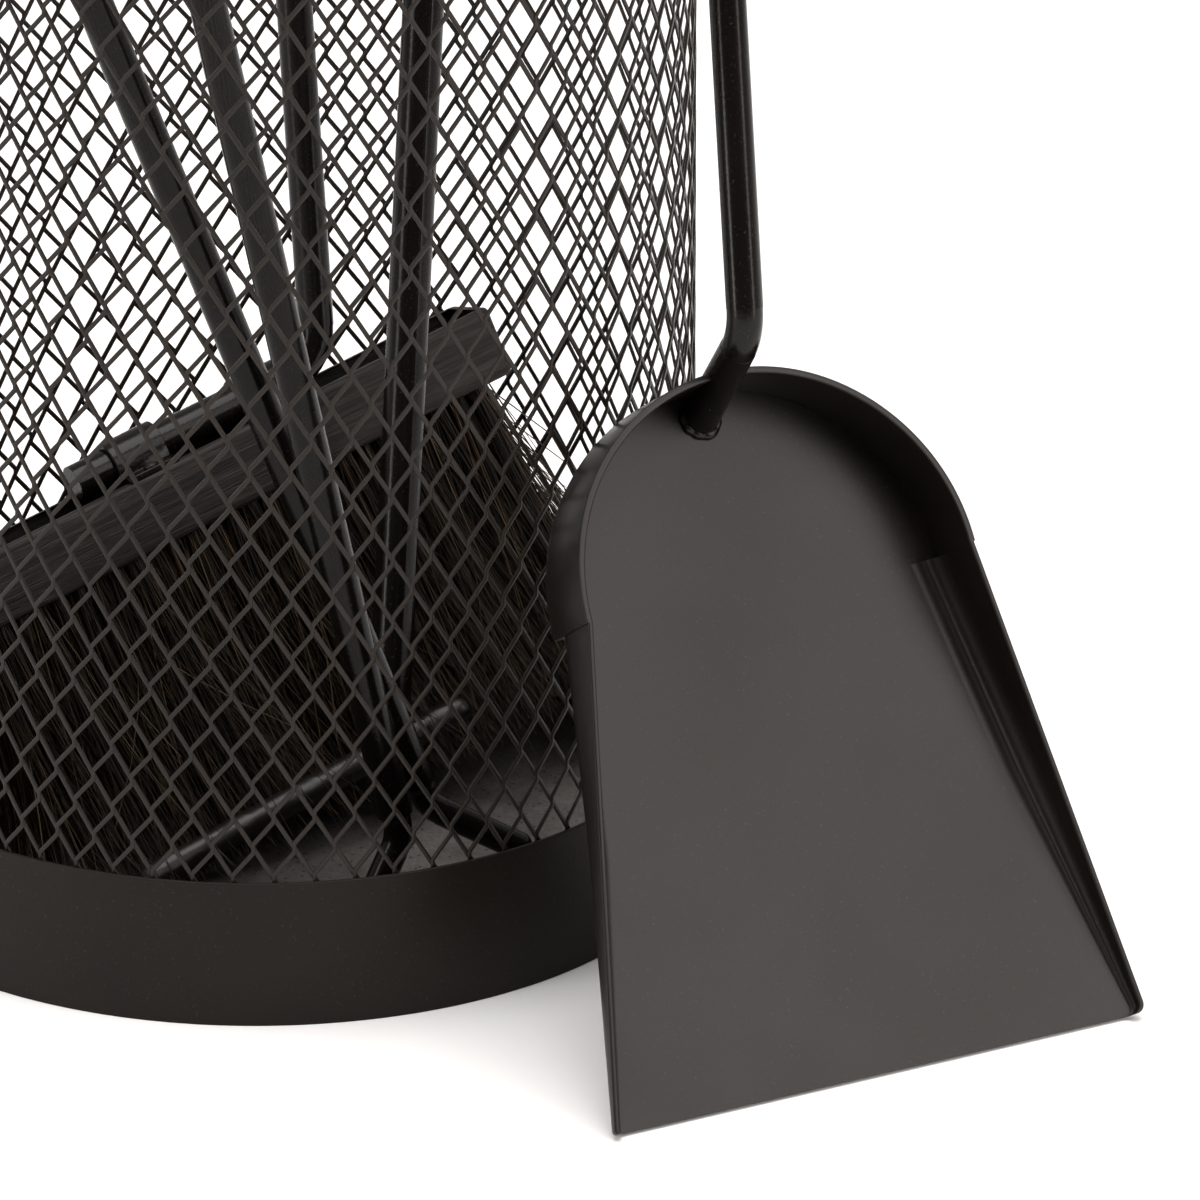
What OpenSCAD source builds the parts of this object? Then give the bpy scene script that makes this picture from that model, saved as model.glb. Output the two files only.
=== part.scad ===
// Fireplace tool set: an open mesh basket with a poker, a brush and tongs standing in it,
// and a shovel that stands on the hearth and leans on the basket's rim.
// The origin is the centre of the basket's underside. +Z is up, and the shovel is at -Y.

/* [Basket] */
// Outer diameter of the base band
basket_d = 240; // [230:1:300]
// Height of the basket up to the centre of its rim
basket_h = 350; // [310:1:430]
// Height of the solid base band
band_h = 42; // [25:1:70]
// Thickness of the band and of the mesh sheet
sheet_t = 1.2; // [0.8:0.1:1.6]
// Thickness of the round bar that edges the rim
rim_d = 7; // [5:0.5:9]
// Thickness of the steel floor plate
floor_t = 2; // [1.5:0.5:5]
// Thickness of the felt pad under the floor plate
pad_t = 2; // [1:0.5:5]

/* [Shafts and grips] */
// Diameter of the shafts of the brush, the tongs and the shovel
shaft_d = 10; // [8:0.5:12]
// Length of the grips
grip_l = 120; // [80:1:150]
// Diameter of the grips
grip_d = 17; // [15:0.5:22]
// Depth of a grip's socket on its shaft
grip_socket = 60; // [30:1:75]

/* [Poker] */
// Diameter of the poker's shaft
poker_d = 11.5; // [9:0.5:13]
// Length of the poker's shaft above its crossbar
poker_l = 600; // [520:1:720]
// Length of the crossbar
crossbar_l = 103; // [80:1:110]
// Diameter of the crossbar
crossbar_d = 8; // [6:0.5:9]

/* [Brush] */
// Length of the wooden block
block_l = 185; // [150:1:190]
// Width of the block
block_w = 24; // [20:1:28]
// Thickness of the block
block_t = 20; // [16:1:26]
// Free length of the bristles
bristle_l = 88; // [60:1:92]
// Length of the shaft's foot that is clipped to the block
foot_l = 81; // [60:1:95]
// Distance from the block's end to the bend of the shaft
foot_inset = 49; // [40:1:60]
// Length of the brush shaft above its bend
brush_l = 480; // [420:1:600]

/* [Tongs] */
// Height of the pivot above the ankles
pivot_h = 460; // [400:1:540]
// Length of each leg above the pivot
arm_l = 120; // [100:1:170]
// Outward bow of each leg
bow = 18; // [12:0.5:24]
// Diameter of the pivot pin
pin_d = 6; // [4:0.5:7]
// Diameter of the claws
claw_d = 8; // [6:0.5:9]

/* [Shovel] */
// Width of the pan at its mouth
mouth_w = 162; // [130:1:190]
// Outer radius of the pan's closed end
arch_r = 58.5; // [45:0.5:64]
// Length of the pan from the mouth to the centre of its closed end
pan_l = 132; // [110:1:160]
// Height of the pan's wall at its closed end
wall_h = 22; // [14:1:26]
// Height of the pan's wall at the mouth
mouth_h = 3; // [2:0.5:6]
// Thickness of the pan's sheet steel
pan_t = 1.5; // [1:0.1:2.5]
// Length of the shovel shaft above its bend
shovel_l = 430; // [360:1:520]

/* [Hidden] */

steel_black = [0.20, 0.19, 0.18];
band_black = [0.17, 0.16, 0.15];
wood_black = [0.16, 0.13, 0.11];
bristle_brown = [0.12, 0.09, 0.07];
grip_black = [0.10, 0.10, 0.10];
felt_grey = [0.30, 0.30, 0.30];

gap = 0.4;        // air between pieces that only stand on each other
lean_gap = 1;     // level air between a leaning shaft and the rim
bend_r = 14;      // bend of a shaft, at its centreline
tuck = 1;         // hidden overlap of a bend and the straight stretch beside it
run_fit = 0.05;   // radial play of the pivot pin in the leg that turns
socket_fit = 0.05; // radial play of a shaft in its grip
grip_ring_up = 8; // height of the raised ring on a grip
grip_ring_d = 2.4; // thickness of that ring
pad_inset = 4;    // how far the felt pad stays inside the wall

band_r = basket_d / 2;
mesh_r = band_r - sheet_t;
inner_r = mesh_r - sheet_t;
floor_z = pad_t + floor_t;
rim_r = mesh_r - sheet_t / 2;
rim_inner_r = rim_r - rim_d / 2;

// Rotation of a vector about X, Y and Z, in the order that rotate() uses.
function about_x(v, a) = [v.x, v.y * cos(a) - v.z * sin(a), v.y * sin(a) + v.z * cos(a)];
function about_y(v, a) = [v.x * cos(a) + v.z * sin(a), v.y, v.z * cos(a) - v.x * sin(a)];
function about_z(v, a) = [v.x * cos(a) - v.y * sin(a), v.x * sin(a) + v.y * cos(a), v.z];
function turned(v, a) = about_z(about_y(about_x(v, a.x), a.y), a.z);
function toward(a, b, l) = a + (b - a) * l / norm(b - a);

// Point at height z on a circle of radius r, at an angle seen from above.
function on_ring(r, angle, z) = [r * cos(angle), r * sin(angle), z];

// Carries its children from the origin and +Z to point a, facing point b.
module aim(a, b) {
    d = b - a;
    translate(a)
        rotate([0, acos(d.z / norm(d)), atan2(d.y, d.x)])
            children();
}

// Straight shaft from a to b, cut square at both ends.
module shaft(a, b, d) {
    aim(a, b) cylinder(h = norm(b - a), d = d, $fn = 48);
}

// Half a ball on the end b of a shaft that comes from a.
module dome(a, b, d) {
    aim(b, b + (b - a)) rotate_extrude($fn = 48)
        intersection() {
            circle(d = d, $fn = 48);
            square(d);
        }
}

// Bend from +X at radius r towards +Y. It is a hair thinner than the shaft, and each end
// reaches tuck inside the straight stretch beside it, so that the pieces join as one solid.
module elbow(r, turn, d) {
    extra = tuck / r * 180 / PI;
    rotate([0, 0, -extra])
        rotate_extrude(angle = turn + 2 * extra, $fn = r > 100 ? 720 : 96)
            translate([r, 0]) circle(d = d - 0.2, $fn = 48);
}

// Shaft from a to c with a bend of radius r where it turns at b.
module bent_shaft(a, b, c, r, d) {
    u = (b - a) / norm(b - a);
    v = (c - b) / norm(c - b);
    turn = acos(u * v);
    reach = r * tan(turn / 2);
    out = (u * (u * v) - v) / norm(u * (u * v) - v);
    up = cross(out, u);
    centre = b - u * reach - out * r;
    shaft(a, b - u * reach, d);
    shaft(b + v * reach, c, d);
    multmatrix([
        [out.x, u.x, up.x, centre.x],
        [out.y, u.y, up.y, centre.y],
        [out.z, u.z, up.z, centre.z]
    ])
        elbow(r, turn, d);
}

// Plain grip: a slim barrel with a socket, standing on the shaft d at point b.
module grip(a, b, d) {
    aim(toward(b, a, grip_socket), toward(b, a, -grip_l))
        difference() {
            union() {
                cylinder(h = grip_l, d = grip_d, $fn = 64);
                translate([0, 0, grip_ring_up]) rotate_extrude($fn = 64)
                    translate([grip_d / 2 - grip_ring_d / 4, 0]) circle(d = grip_ring_d, $fn = 24);
            }
            translate([0, 0, -1])
                cylinder(h = grip_socket + 1, r = d / 2 + socket_fit, $fn = 64);
        }
}

// Domed cap on the far end of the same grip.
module cap(a, b) {
    aim(toward(b, a, grip_socket - grip_l), toward(b, a, -grip_l))
        rotate_extrude($fn = 64)
            intersection() {
                circle(d = grip_d, $fn = 64);
                square(grip_d);
            }
}

// ---- Basket ----

// Wall of the mesh, from height a to height b, as a plain shell.
module wall_shell(a, b) {
    difference() {
        translate([0, 0, a]) cylinder(h = b - a, r = mesh_r, $fn = 180);
        translate([0, 0, a - 1]) cylinder(h = b - a + 2, r = inner_r, $fn = 180);
    }
}

module mesh_wall() { color(steel_black) wall_shell(floor_z, basket_h); }

module base_band() {
    color(band_black)
        difference() {
            cylinder(h = band_h, r = band_r, $fn = 180);
            translate([0, 0, -1]) cylinder(h = band_h + 2, r = mesh_r, $fn = 180);
        }
}

module floor_plate() {
    color(steel_black)
        translate([0, 0, pad_t]) cylinder(h = floor_t, r = inner_r, $fn = 180);
}

module foot_pad() {
    color(felt_grey)
        cylinder(h = pad_t, r = inner_r - pad_inset, $fn = 180);
}

module top_rim() {
    color(steel_black)
        difference() {
            translate([0, 0, basket_h]) rotate_extrude($fn = 180)
                translate([rim_r, 0]) circle(d = rim_d, $fn = 32);
            wall_shell(basket_h - rim_d, basket_h);
        }
}

// ---- Poker: a shaft welded on a long crossbar ----

crossbar_turn = 34;
crossbar_rise = 14;
crossbar_joint = 0.77; // share of the crossbar on the low side of the shaft
poker_foot_x = 0.29;   // share of the basket's inner radius
poker_rest_angle = 62; // where the shaft passes the rim, seen from above
poker_foot = [inner_r * poker_foot_x, 0, floor_z + crossbar_d / 2 + gap
    + crossbar_l * crossbar_joint * sin(crossbar_rise)];
poker_rest = on_ring(rim_inner_r - poker_d / 2 - lean_gap, poker_rest_angle, basket_h);
poker_end = toward(poker_foot, poker_rest, poker_l);
crossbar_dir = turned([1, 0, 0], [0, -crossbar_rise, crossbar_turn]);
crossbar_low = poker_foot - crossbar_dir * crossbar_l * crossbar_joint;
crossbar_high = crossbar_low + crossbar_dir * crossbar_l;

module poker_shaft() {
    color(steel_black)
        difference() {
            aim(poker_foot, poker_end)
                cylinder(h = poker_l, d = poker_d, $fn = 48);
            aim(crossbar_low, crossbar_high)
                cylinder(h = crossbar_l, d = crossbar_d, $fn = 48);
        }
}

module poker_crossbar() {
    color(steel_black) {
        shaft(crossbar_low, crossbar_high, crossbar_d);
        dome(crossbar_low, crossbar_high, crossbar_d);
        dome(crossbar_high, crossbar_low, crossbar_d);
    }
}

module poker_grip() { color(grip_black) grip(poker_foot, poker_end, poker_d); }
module poker_cap() { color(grip_black) cap(poker_foot, poker_end); }

// ---- Brush: the block lies askew, with its bristles on the floor plate ----

brush_turn = [-20, -13.5, 32];
block_r = 3;            // rounding of the block's upright edges
bristle_inset = [6, 2]; // bare wood beside the bristles, at the block's ends and sides
bristle_bend = 17;      // length that the lowest bristles lose by bending on the floor plate
bristle_foot = turned([bristle_inset.x - block_l, bristle_inset.y, -block_t - bristle_l], brush_turn);

// Upper front corner of the block, at its right end, with shares of the basket's inner radius.
block_share = [0.527, 0.646];
block_corner = [inner_r * block_share.x, inner_r * block_share.y, floor_z - bristle_bend - bristle_foot.z];

// A point of the brush: x along the block, y across it and z above its top face.
function on_brush(v) = block_corner + turned(v, brush_turn);

clip_l = 16;      // length of a saddle clip along the shaft
clip_t = 1.5;     // thickness of its strip
clip_share = 0.24; // of the foot, from each of its ends to a clip
clip_places = [for (share = [clip_share, 1 - clip_share]) -foot_inset - foot_l * share];
screw_d = 4;
screw_h = 1.4;    // height of a screw's domed head
screw_dome_r = 3;
screw_inset = 2.5; // from a clip's end to the middle of its screw
foot_start = on_brush([-foot_inset, block_w / 2, shaft_d / 2]);
foot_end = on_brush([-foot_inset - foot_l, block_w / 2, shaft_d / 2]);
brush_rest_angle = 90;
brush_rest = on_ring(rim_inner_r - shaft_d / 2 - lean_gap, brush_rest_angle, basket_h);
brush_end = toward(foot_start, brush_rest, brush_l);

module brush_place() { translate(block_corner) rotate(brush_turn) children(); }

// Wooden block with rounded upright edges.
module brush_block() {
    color(wood_black)
        brush_place()
            translate([-block_l, 0, -block_t])
                linear_extrude(block_t) {
                    translate([0, block_r]) square([block_l, block_w - block_r * 2]);
                    translate([block_r, 0]) square([block_l - block_r * 2, block_w]);
                    for (x = [block_r, block_l - block_r], y = [block_r, block_w - block_r])
                        translate([x, y]) circle(r = block_r, $fn = 48);
                }
}

// Bristles as one solid. The floor plate and the wall cut it where they bend the real ones.
module brush_bristles() {
    color(bristle_brown)
        intersection() {
            brush_place()
                translate([bristle_inset.x - block_l, bristle_inset.y, -block_t - bristle_l])
                    cube([block_l - bristle_inset.x * 2, block_w - bristle_inset.y * 2, bristle_l]);
            translate([0, 0, floor_z + gap])
                cylinder(h = basket_h, r = inner_r - gap, $fn = 180);
        }
}

module brush_shaft() {
    color(steel_black)
        bent_shaft(foot_end, foot_start, brush_end, bend_r, shaft_d);
}

// Saddle clips that hold the foot down on the block.
module brush_clips() {
    ear_w = block_w - 1;
    color(steel_black)
        for (x = clip_places)
            brush_place()
                translate([x - clip_l / 2, block_w / 2, 0])
                    rotate([90, 0, 90])
                        linear_extrude(clip_l)
                            difference() {
                                union() {
                                    translate([0, shaft_d / 2]) circle(r = shaft_d / 2 + clip_t, $fn = 48);
                                    translate([-shaft_d / 2 - clip_t, 0])
                                        square([shaft_d + clip_t * 2, shaft_d / 2]);
                                    translate([-ear_w / 2, 0]) square([ear_w, clip_t]);
                                }
                                translate([0, shaft_d / 2]) circle(d = shaft_d, $fn = 48);
                                translate([-shaft_d / 2, -shaft_d]) square([shaft_d, shaft_d * 1.5]);
                                translate([-block_w, -block_w]) square([block_w * 2, block_w]);
                            }
}

// Domed screw heads, one on each ear of a clip.
module brush_screws() {
    color(steel_black)
        for (x = clip_places, side = [-1, 1])
            brush_place()
                translate([x, block_w / 2 + side * (block_w / 2 - screw_inset), clip_t])
                    intersection() {
                        cylinder(h = screw_h, d = screw_d, $fn = 24);
                        translate([0, 0, screw_h - screw_dome_r]) sphere(r = screw_dome_r, $fn = 24);
                    }
}

module brush_grip() { color(grip_black) grip(foot_start, brush_end, shaft_d); }
module brush_cap() { color(grip_black) cap(foot_start, brush_end); }

// ---- Tongs: two bowed legs that cross at a pin, with claws that overlap when shut ----

washer_t = 2;
eye_d = 18;
eye_l = shaft_d + 1;
eye_play = 0.15;  // air on each side of the washer
claw_r = 11.5;    // radius of a claw's curl
claw_sweep = 47;  // angle that the claw curls through
claw_tip = 23.7;  // straight end of a claw
front_claw_turn = 33;
cross_x = 3.2;    // how far each shut leg passes the middle at its ankle
straight_h = 285; // height of a leg's straight stretch
neck_l = 2;       // taper between a leg and its claw
leg_y = (eye_l + washer_t) / 2 + eye_play;

tongs_lean = 6.1;    // lean towards the front
tongs_tilt = -15.1;  // tilt towards the left
tongs_rest_angle = 245.3;
function tongs_turned(v) = about_x(about_y(v, tongs_tilt), tongs_lean);

// The axis passes the rim at tongs_rest, and the front claw's tip rests on the floor plate.
claw_reach = claw_r * (1 - cos(claw_sweep)) + claw_tip * sin(claw_sweep);
claw_drop = neck_l + claw_r * sin(claw_sweep) + claw_tip * cos(claw_sweep);
front_tip = [
    -cross_x - claw_reach * cos(front_claw_turn),
    -leg_y - claw_reach * sin(front_claw_turn),
    -claw_drop
];
tongs_rest = on_ring(rim_inner_r - bow / 2 - lean_gap, tongs_rest_angle, basket_h);
tongs_up = tongs_turned([0, 0, 1]);
tongs_foot_z = floor_z + gap + claw_d / 2 - tongs_turned(front_tip).z;
tongs_foot = tongs_rest - tongs_up * (basket_h - tongs_foot_z) / tongs_up.z;

module tongs_place() {
    translate(tongs_foot)
        rotate([tongs_lean, 0, 0])
            rotate([0, tongs_tilt, 0])
                children();
}

// A leg is straight up to its widest point and then curves to the pin and on into its arm.
straight_lean = atan2(bow + cross_x, straight_h);
chord_lean = atan2(-bow, pivot_h - straight_h);
arc_turn = 2 * (straight_lean - chord_lean);
arc_r = norm([bow, pivot_h - straight_h]) / 2 / sin(arc_turn / 2);
arc_reach = arc_r * tan(arc_turn / 2);
arm_lean = straight_lean - arc_turn;
function arm_foot(side) = [0, -side * leg_y, pivot_h];
function arm_top(side) = arm_foot(side) + arm_l * [side * sin(arm_lean), 0, cos(arm_lean)];

// One leg with its arm, eye and claw. side is 1 for the front leg and -1 for the back leg.
module leg(side, bore_r, claw_turn) {
    ankle = [-side * cross_x, -side * leg_y, 0];
    corner = [
        side * (bow + arc_reach * sin(straight_lean)),
        -side * leg_y,
        straight_h + arc_reach * cos(straight_lean)
    ];
    difference() {
        union() {
            bent_shaft(ankle, corner, arm_top(side), arc_r, shaft_d);
            translate([0, -side * leg_y + eye_l / 2, pivot_h])
                rotate([90, 0, 0]) cylinder(h = eye_l, d = eye_d, $fn = 48);
            translate(ankle)
                mirror([side > 0 ? 1 : 0, 0, 0])
                    rotate([0, 0, -claw_turn])
                        claw();
        }
        translate([0, eye_d, pivot_h])
            rotate([90, 0, 0]) cylinder(h = eye_d * 2, r = bore_r, $fn = 48);
    }
}

// Tapered neck, curl and straight tip, pointing to +X.
module claw() {
    curl_end = [claw_r * (1 - cos(claw_sweep)), 0, -neck_l - claw_r * sin(claw_sweep)];
    tip = curl_end + claw_tip * [sin(claw_sweep), 0, -cos(claw_sweep)];
    translate([0, 0, -neck_l])
        cylinder(h = neck_l + tuck, d1 = claw_d, d2 = shaft_d - 0.5, $fn = 48);
    translate([claw_r, 0, -neck_l])
        rotate([-90, 0, 0]) mirror([1, 0, 0]) elbow(claw_r, claw_sweep, claw_d);
    shaft(curl_end, tip, claw_d);
    dome(curl_end, tip, claw_d);
}

module tongs_back_leg() {
    color(steel_black) tongs_place() leg(-1, pin_d / 2, 0);
}

module tongs_front_leg() {
    color(steel_black) tongs_place() leg(1, pin_d / 2 + run_fit, front_claw_turn);
}

// Pivot pin with a round head in front and a riveted end behind.
module tongs_pin() {
    half_l = leg_y + eye_l / 2;
    color(steel_black)
        tongs_place()
            translate([0, 0, pivot_h]) rotate([90, 0, 0]) {
                translate([0, 0, -half_l]) cylinder(h = half_l * 2 + eye_play, d = pin_d, $fn = 48);
                translate([0, 0, half_l + eye_play]) rivet_head();
                mirror([0, 0, 1]) translate([0, 0, half_l]) rivet_head();
            }
}

module rivet_head() {
    intersection() {
        cylinder(h = pin_d / 2, d = pin_d * 2, $fn = 48);
        translate([0, 0, -pin_d * 0.8]) sphere(r = pin_d * 1.25, $fn = 48);
    }
}

module tongs_washer() {
    color(steel_black)
        tongs_place()
            translate([0, washer_t / 2, pivot_h]) rotate([90, 0, 0])
                difference() {
                    cylinder(h = washer_t, d = eye_d - 1, $fn = 48);
                    translate([0, 0, -1]) cylinder(h = washer_t + 2, r = pin_d / 2 + run_fit, $fn = 48);
                }
}

module tongs_back_grip() { color(grip_black) tongs_place() grip(arm_foot(-1), arm_top(-1), shaft_d); }
module tongs_front_grip() { color(grip_black) tongs_place() grip(arm_foot(1), arm_top(1), shaft_d); }
module tongs_back_cap() { color(grip_black) tongs_place() cap(arm_foot(-1), arm_top(-1)); }
module tongs_front_cap() { color(grip_black) tongs_place() cap(arm_foot(1), arm_top(1)); }

// ---- Shovel: a pan of folded sheet with a welded strip round its closed end ----

pan_rise = 56.3;  // slope of the pan from the hearth
pan_turn = 28;    // turn of the mouth seen from above
pan_angle = -42.3; // place of the mouth round the basket
pan_gap = 0.2;     // air between the mouth and the hearth
pan_reach = (pan_l + arch_r) * cos(pan_rise);
pan_mid = on_ring(band_r + pan_reach, pan_angle, pan_t * cos(pan_rise) + pan_gap);
neck = 40;        // height of the shaft's bend over the pan
neck_lean = 14;   // how far the neck leans back over that height
neck_inset = 8;   // from the pan's closed end to the foot of the shaft
neck_sink = 0.3;  // share of the neck that is cut off below the pan's floor
weld_r = shaft_d * 0.78;
weld_h = 3;

function on_pan(v) = pan_mid + turned(v, [pan_rise, 0, pan_turn]);

shovel_foot = [0, pan_l + arch_r - neck_inset, 0];
shovel_bend = shovel_foot + [0, neck_lean, neck];
shovel_low = shovel_foot - (shovel_bend - shovel_foot) * neck_sink;
shovel_rest_angle = -16.7;
shovel_rest = on_ring(rim_r + rim_d / 2 + shaft_d / 2 + gap, shovel_rest_angle, basket_h);
shovel_end = toward(on_pan(shovel_bend), shovel_rest, shovel_l);

module pan_place() { translate(pan_mid) rotate([pan_rise, 0, pan_turn]) children(); }

// Flat outline of the pan: a flared throat closed by half a circle.
module pan_outline() {
    polygon([
        [-mouth_w / 2, 0], [mouth_w / 2, 0], [arch_r, pan_l], [-arch_r, pan_l]
    ]);
    intersection() {
        translate([0, pan_l]) circle(r = arch_r, $fn = 128);
        translate([-arch_r, pan_l - 0.01]) square([arch_r * 2, arch_r + 1]);
    }
}

// Side wall along the right edge, low at the mouth and full height at the closed end.
module side_wall() {
    edge = [arch_r - mouth_w / 2, pan_l];
    intersection() {
        translate([mouth_w / 2, 0, 0])
            rotate([0, 0, atan2(edge.y, edge.x)])
                translate([0, pan_t, 0]) rotate([90, 0, 0])
                    linear_extrude(pan_t)
                        polygon([[0, 0], [norm(edge), 0], [norm(edge), wall_h], [0, mouth_h]]);
        cube([mouth_w, pan_l, wall_h]);
    }
}

module shovel_pan() {
    color(steel_black)
        pan_place() {
            translate([0, 0, -pan_t]) linear_extrude(pan_t) pan_outline();
            side_wall();
            mirror([1, 0, 0]) side_wall();
        }
}

module shovel_arch_wall() {
    color(steel_black)
        difference() {
            pan_place()
                translate([0, pan_l, 0]) rotate_extrude(angle = 180, $fn = 128)
                    translate([arch_r - pan_t, 0]) square([pan_t, wall_h]);
            pan_place() neck_bar();
        }
}

// Lower end of the shaft, run on below the pan's floor.
module neck_bar() {
    shaft(shovel_bend, shovel_low, shaft_d);
}

module shovel_shaft() {
    color(steel_black)
        difference() {
            bent_shaft(on_pan(shovel_low), on_pan(shovel_bend), shovel_end, bend_r, shaft_d);
            pan_place()
                translate([-shaft_d, shovel_foot.y - shaft_d * 2, -shaft_d * 2])
                    cube([shaft_d * 2, shaft_d * 4, shaft_d * 2]);
        }
}

module shovel_weld() {
    color(steel_black)
        pan_place()
            difference() {
                intersection() {
                    translate(shovel_foot) sphere(r = weld_r, $fn = 48);
                    translate(shovel_foot + [-shaft_d, -shaft_d, 0])
                        cube([shaft_d * 2, shaft_d * 2, weld_h]);
                    translate([0, pan_l, 0]) cylinder(h = weld_h + 1, r = arch_r - pan_t, $fn = 128);
                }
                neck_bar();
            }
}

module shovel_grip() { color(grip_black) grip(on_pan(shovel_bend), shovel_end, shaft_d); }
module shovel_cap() { color(grip_black) cap(on_pan(shovel_bend), shovel_end); }

mesh_wall();
base_band();
floor_plate();
foot_pad();
top_rim();
poker_shaft();
poker_crossbar();
poker_grip();
poker_cap();
brush_block();
brush_bristles();
brush_shaft();
brush_clips();
brush_screws();
brush_grip();
brush_cap();
tongs_back_leg();
tongs_front_leg();
tongs_pin();
tongs_washer();
tongs_back_grip();
tongs_front_grip();
tongs_back_cap();
tongs_front_cap();
shovel_pan();
shovel_arch_wall();
shovel_shaft();
shovel_weld();
shovel_grip();
shovel_cap();
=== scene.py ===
import bpy
import bmesh
import math
import numpy as np
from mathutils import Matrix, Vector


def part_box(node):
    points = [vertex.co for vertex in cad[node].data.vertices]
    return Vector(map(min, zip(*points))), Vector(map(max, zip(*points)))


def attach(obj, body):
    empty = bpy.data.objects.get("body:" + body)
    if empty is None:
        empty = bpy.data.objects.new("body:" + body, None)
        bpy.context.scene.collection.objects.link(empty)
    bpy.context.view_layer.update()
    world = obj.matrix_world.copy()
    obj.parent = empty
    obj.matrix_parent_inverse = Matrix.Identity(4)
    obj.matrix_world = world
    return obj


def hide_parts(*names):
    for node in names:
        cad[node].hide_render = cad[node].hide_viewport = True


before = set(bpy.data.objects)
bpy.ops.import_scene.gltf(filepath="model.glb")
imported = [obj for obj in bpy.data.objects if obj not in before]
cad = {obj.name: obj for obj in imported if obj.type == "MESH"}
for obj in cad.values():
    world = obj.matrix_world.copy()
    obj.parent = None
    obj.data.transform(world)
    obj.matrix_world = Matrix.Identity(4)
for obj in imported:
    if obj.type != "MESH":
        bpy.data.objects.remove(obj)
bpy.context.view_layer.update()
mm = 0.001
print("frame loaded,", len(cad), "nodes")


# Small helpers

def arr(v):
    return np.array(v, float)


def turnMatrix(degrees):
    # rotation about X, then Y, then Z, as one 3 by 3 matrix
    ax, ay, az = np.radians(degrees)
    rx = arr([[1, 0, 0], [0, math.cos(ax), -math.sin(ax)], [0, math.sin(ax), math.cos(ax)]])
    ry = arr([[math.cos(ay), 0, math.sin(ay)], [0, 1, 0], [-math.sin(ay), 0, math.cos(ay)]])
    rz = arr([[math.cos(az), -math.sin(az), 0], [math.sin(az), math.cos(az), 0], [0, 0, 1]])
    return rz @ ry @ rx


def cadPoints(node):
    mesh = cad[node].data
    co = np.zeros(len(mesh.vertices) * 3)
    mesh.vertices.foreach_get("co", co)
    return co.reshape(-1, 3)


def turnedBox(node, turn):
    # lowest and highest corner of a CAD node, measured along the turned axes
    local = cadPoints(node) @ turn
    return local.min(0), local.max(0)


def smooth(t):
    t = np.clip(t, 0, 1)
    return t * t * (3 - 2 * t)


def addMesh(name, verts, faces, material, body, slot, stands, angle):
    # puts arrays into a mesh object, shades it smooth up to an angle and lets it ride on a body
    mesh = bpy.data.meshes.new(name)
    mesh.from_pydata(np.asarray(verts).reshape(-1, 3).tolist(), [], faces)
    mesh.validate()
    piece = bpy.data.objects.new(name, mesh)
    bpy.context.scene.collection.objects.link(piece)
    finishMesh(piece, material, body, stands, angle)
    return piece


def finishMesh(piece, material, body, stands, angle):
    work = bmesh.new()
    work.from_mesh(piece.data)
    bmesh.ops.recalc_face_normals(work, faces=work.faces)
    work.to_mesh(piece.data)
    work.free()
    piece.data.shade_smooth()
    piece.data.set_sharp_from_angle(angle=math.radians(angle))
    piece.data.materials.clear()
    piece.data.materials.append(material)
    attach(piece, body)
    if stands:
        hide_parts(*stands)


def gridFaces(rows, cols, closedRows=False):
    # quads between neighbouring points of a rows by cols grid, whose columns close into a ring
    r, c = np.meshgrid(np.arange(rows if closedRows else rows - 1), np.arange(cols), indexing="ij")
    r2, c2 = (r + 1) % rows, (c + 1) % cols
    return np.stack([r * cols + c, r * cols + c2, r2 * cols + c2, r2 * cols + c], -1).reshape(-1, 4)


def sweepFaces(count, rings, sides, capStart=True):
    # faces of many equal tubes, each with its rings one after another, and flat caps
    one = gridFaces(rings, sides)
    step = rings * sides
    faces = (one[None] + (np.arange(count) * step)[:, None, None]).reshape(-1, 4).tolist()
    ring = np.arange(sides)
    for i in range(count):
        if capStart:
            faces.append((i * step + ring[::-1]).tolist())
        faces.append((i * step + (rings - 1) * sides + ring).tolist())
    return faces


def lathe(profile, steps):
    # carries a closed outline of (radius, height) round the Z axis
    turn = np.linspace(0, 2 * np.pi, steps, endpoint=False)[:, None]
    r, z = arr(profile)[:, 0][None], arr(profile)[:, 1][None]
    verts = np.stack([r * np.cos(turn), r * np.sin(turn), z + 0 * turn], -1)
    return verts.reshape(-1, 3), gridFaces(steps, len(profile), closedRows=True).tolist()


def roundedBox(x0, y0, x1, y1, r, steps=5):
    # outline of a rectangle with quarter-circle corners
    t = np.linspace(0, np.pi / 2, steps)
    corners = [(x1 - r, y1 - r, 0), (x0 + r, y1 - r, 1), (x0 + r, y0 + r, 2), (x1 - r, y0 + r, 3)]
    return np.concatenate([
        np.stack([cx + r * np.cos(t + k * np.pi / 2), cy + r * np.sin(t + k * np.pi / 2)], -1)
        for cx, cy, k in corners])


copied = {
    "merge": 0.002 * mm,  # distance within which vertices are merged
    "flat": 0.4,          # angle below which faces join, in degrees
    "sharp": 32,          # angle above which an edge is sharp, in degrees
}


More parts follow.
